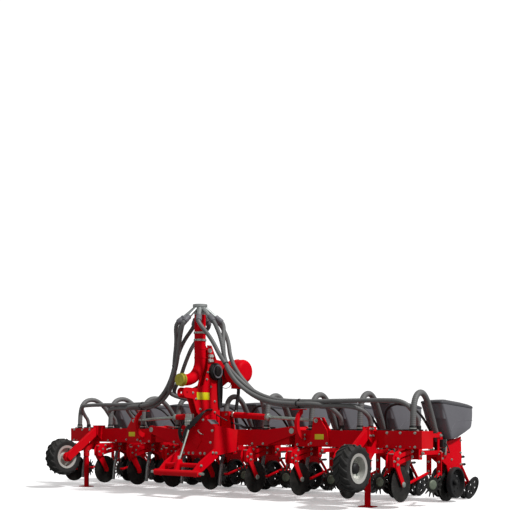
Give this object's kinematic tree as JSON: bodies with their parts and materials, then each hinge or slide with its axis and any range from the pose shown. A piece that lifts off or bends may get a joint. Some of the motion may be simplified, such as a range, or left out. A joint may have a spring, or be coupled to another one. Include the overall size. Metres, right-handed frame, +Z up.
{
  "type": "precision planter",
  "caption": "Mounted row-crop planter with folding wing beams, hoppers over double-disc row units, fertiliser coulters and an air distributor tower.",
  "frame": {"origin": "on the ground, under the middle of the machine's box", "axes": "+X across the rows, to the viewer's right seen from the front; +Y to the rear; +Z up"},
  "size_m": [6.5002, 2.6339, 2.624],
  "materials": {
    "red_paint": "satin",
    "zinc_steel": "zinc plated",
    "dark_steel": "bare dark steel",
    "hopper_plastic": "moulded, fine grain",
    "black_plastic": "moulded",
    "grey_hose": "ribbed",
    "tyre_rubber": "matte",
    "wheel_silver": "satin silver",
    "coupling_yellow": "yellow chromate",
    "galvanised_pipe": "galvanised"
  },
  "bodies": {
    "centre": {"centre_beam": "red_paint", "pins": "zinc_steel", "headstock": "red_paint", "mast": "red_paint", "air_pipe": "red_paint", "pipe_coupling": "coupling_yellow", "distributor": "galvanised_pipe", "fan_housing": "red_paint", "fan_motor": "dark_steel", "hydraulics": "zinc_steel", "main_hoses_left": "grey_hose", "main_hoses_right": "grey_hose", "row_frames_centre": "red_paint", "hoppers_centre": "hopper_plastic", "meters_centre": "black_plastic", "ground_tools_centre": "dark_steel", "hose_loops_centre": "grey_hose", "coulters_centre": "red_paint"},
    "wing_left": {"wing_beam_left": "red_paint", "wheel_arm_left": "red_paint", "row_frames_left": "red_paint", "hoppers_left": "hopper_plastic", "meters_left": "black_plastic", "ground_tools_left": "dark_steel", "hose_loops_left": "grey_hose", "coulters_left": "red_paint"},
    "wheel_left": {"tyre_left": "tyre_rubber", "rim_left": "wheel_silver"},
    "parking_stand_left": {"stand_left": "red_paint"},
    "fold_barrel_left": {"barrel_left": "red_paint"},
    "fold_rod_left": {"rod_left": "zinc_steel"},
    "wing_right": {"wing_beam_right": "red_paint", "wheel_arm_right": "red_paint", "row_frames_right": "red_paint", "hoppers_right": "hopper_plastic", "meters_right": "black_plastic", "ground_tools_right": "dark_steel", "hose_loops_right": "grey_hose", "coulters_right": "red_paint"},
    "wheel_right": {"tyre_right": "tyre_rubber", "rim_right": "wheel_silver"},
    "parking_stand_right": {"stand_right": "red_paint"},
    "fold_barrel_right": {"barrel_right": "red_paint"},
    "fold_rod_right": {"rod_right": "zinc_steel"},
    "gauge_set_centre": {"gauge_wheels_centre": "tyre_rubber"},
    "coulter_set_centre": {"coulter_discs_centre": "dark_steel"},
    "gauge_set_left": {"gauge_wheels_left": "tyre_rubber"},
    "coulter_set_left": {"coulter_discs_left": "dark_steel"},
    "gauge_set_right": {"gauge_wheels_right": "tyre_rubber"},
    "coulter_set_right": {"coulter_discs_right": "dark_steel"},
    "hopper_lid_1": {"lid_1": "hopper_plastic"},
    "hopper_lid_2": {"lid_2": "hopper_plastic"},
    "hopper_lid_3": {"lid_3": "hopper_plastic"},
    "hopper_lid_4": {"lid_4": "hopper_plastic"},
    "hopper_lid_5": {"lid_5": "hopper_plastic"},
    "hopper_lid_6": {"lid_6": "hopper_plastic"},
    "hopper_lid_7": {"lid_7": "hopper_plastic"},
    "hopper_lid_8": {"lid_8": "hopper_plastic"},
    "hopper_lid_9": {"lid_9": "hopper_plastic"}
  },
  "joints": [
    {"name": "fold_left", "type": "hinge", "parent": "centre", "child": "wing_left", "pos_m": [-1.33, -0.298, 0.9], "axis": [0, 1, 0], "range_deg": [0, 90], "deforming": ["main_hoses_left"]},
    {"name": "fold_barrel_swing_left", "type": "hinge", "parent": "centre", "child": "fold_barrel_left", "pos_m": [-0.16, -0.385, 1.12], "axis": [0, 1, 0], "range_deg": [0, 12.65]},
    {"name": "fold_rod_slide_left", "type": "slide", "parent": "fold_barrel_left", "child": "fold_rod_left", "axis": [-0.9985, 0, -0.0544], "range_m": [-0.5154, 0]},
    {"name": "support_wheel_left", "type": "hinge", "parent": "wing_left", "child": "wheel_left", "pos_m": [-2.677, -1.036, 0.48], "axis": [1, 0, 0], "continuous": true},
    {"name": "stand_slide_left", "type": "slide", "parent": "wing_left", "child": "parking_stand_left", "axis": [0, 0, 1], "range_m": [0, 0.35]},
    {"name": "fold_right", "type": "hinge", "parent": "centre", "child": "wing_right", "pos_m": [1.33, -0.298, 0.9], "axis": [0, -1, 0], "range_deg": [0, 90], "deforming": ["main_hoses_right"]},
    {"name": "fold_barrel_swing_right", "type": "hinge", "parent": "centre", "child": "fold_barrel_right", "pos_m": [0.16, -0.385, 1.12], "axis": [0, -1, 0], "range_deg": [0, 12.65]},
    {"name": "fold_rod_slide_right", "type": "slide", "parent": "fold_barrel_right", "child": "fold_rod_right", "axis": [0.9985, 0, -0.0544], "range_m": [-0.5154, 0]},
    {"name": "support_wheel_right", "type": "hinge", "parent": "wing_right", "child": "wheel_right", "pos_m": [2.677, -1.036, 0.48], "axis": [1, 0, 0], "continuous": true},
    {"name": "stand_slide_right", "type": "slide", "parent": "wing_right", "child": "parking_stand_right", "axis": [0, 0, 1], "range_m": [0, 0.35]},
    {"name": "gauge_spin_centre", "type": "hinge", "parent": "centre", "child": "gauge_set_centre", "pos_m": [0, 0.652, 0.248], "axis": [1, 0, 0], "continuous": true},
    {"name": "coulter_spin_centre", "type": "hinge", "parent": "centre", "child": "coulter_set_centre", "pos_m": [0, -0.538, 0.282], "axis": [1, 0, 0], "continuous": true},
    {"name": "lid_open_4", "type": "hinge", "parent": "centre", "child": "hopper_lid_4", "pos_m": [-0.75, 0.206, 1.252], "axis": [-1, 0, 0], "range_deg": [-80, 0]},
    {"name": "lid_open_5", "type": "hinge", "parent": "centre", "child": "hopper_lid_5", "pos_m": [0, 0.206, 1.252], "axis": [-1, 0, 0], "range_deg": [-80, 0]},
    {"name": "lid_open_6", "type": "hinge", "parent": "centre", "child": "hopper_lid_6", "pos_m": [0.75, 0.206, 1.252], "axis": [-1, 0, 0], "range_deg": [-80, 0]},
    {"name": "gauge_spin_left", "type": "hinge", "parent": "wing_left", "child": "gauge_set_left", "pos_m": [-2.25, 0.652, 0.248], "axis": [1, 0, 0], "continuous": true},
    {"name": "coulter_spin_left", "type": "hinge", "parent": "wing_left", "child": "coulter_set_left", "pos_m": [-2.25, -0.538, 0.282], "axis": [1, 0, 0], "continuous": true},
    {"name": "lid_open_1", "type": "hinge", "parent": "wing_left", "child": "hopper_lid_1", "pos_m": [-3, 0.206, 1.252], "axis": [-1, 0, 0], "range_deg": [-80, 0]},
    {"name": "lid_open_2", "type": "hinge", "parent": "wing_left", "child": "hopper_lid_2", "pos_m": [-2.25, 0.206, 1.252], "axis": [-1, 0, 0], "range_deg": [-80, 0]},
    {"name": "lid_open_3", "type": "hinge", "parent": "wing_left", "child": "hopper_lid_3", "pos_m": [-1.5, 0.206, 1.252], "axis": [-1, 0, 0], "range_deg": [-80, 0]},
    {"name": "gauge_spin_right", "type": "hinge", "parent": "wing_right", "child": "gauge_set_right", "pos_m": [2.25, 0.652, 0.248], "axis": [1, 0, 0], "continuous": true},
    {"name": "coulter_spin_right", "type": "hinge", "parent": "wing_right", "child": "coulter_set_right", "pos_m": [2.25, -0.538, 0.282], "axis": [1, 0, 0], "continuous": true},
    {"name": "lid_open_7", "type": "hinge", "parent": "wing_right", "child": "hopper_lid_7", "pos_m": [1.5, 0.206, 1.252], "axis": [-1, 0, 0], "range_deg": [-80, 0]},
    {"name": "lid_open_8", "type": "hinge", "parent": "wing_right", "child": "hopper_lid_8", "pos_m": [2.25, 0.206, 1.252], "axis": [-1, 0, 0], "range_deg": [-80, 0]},
    {"name": "lid_open_9", "type": "hinge", "parent": "wing_right", "child": "hopper_lid_9", "pos_m": [3, 0.206, 1.252], "axis": [-1, 0, 0], "range_deg": [-80, 0]}
  ],
  "couplings": [
    {"joint": "fold_barrel_swing_left", "follows": "fold_left", "ratio": 0.13829},
    {"joint": "fold_rod_slide_left", "follows": "fold_left", "m_per_rad": -0.32687},
    {"joint": "fold_barrel_swing_right", "follows": "fold_right", "ratio": 0.13829},
    {"joint": "fold_rod_slide_right", "follows": "fold_right", "m_per_rad": -0.32687}
  ]
}
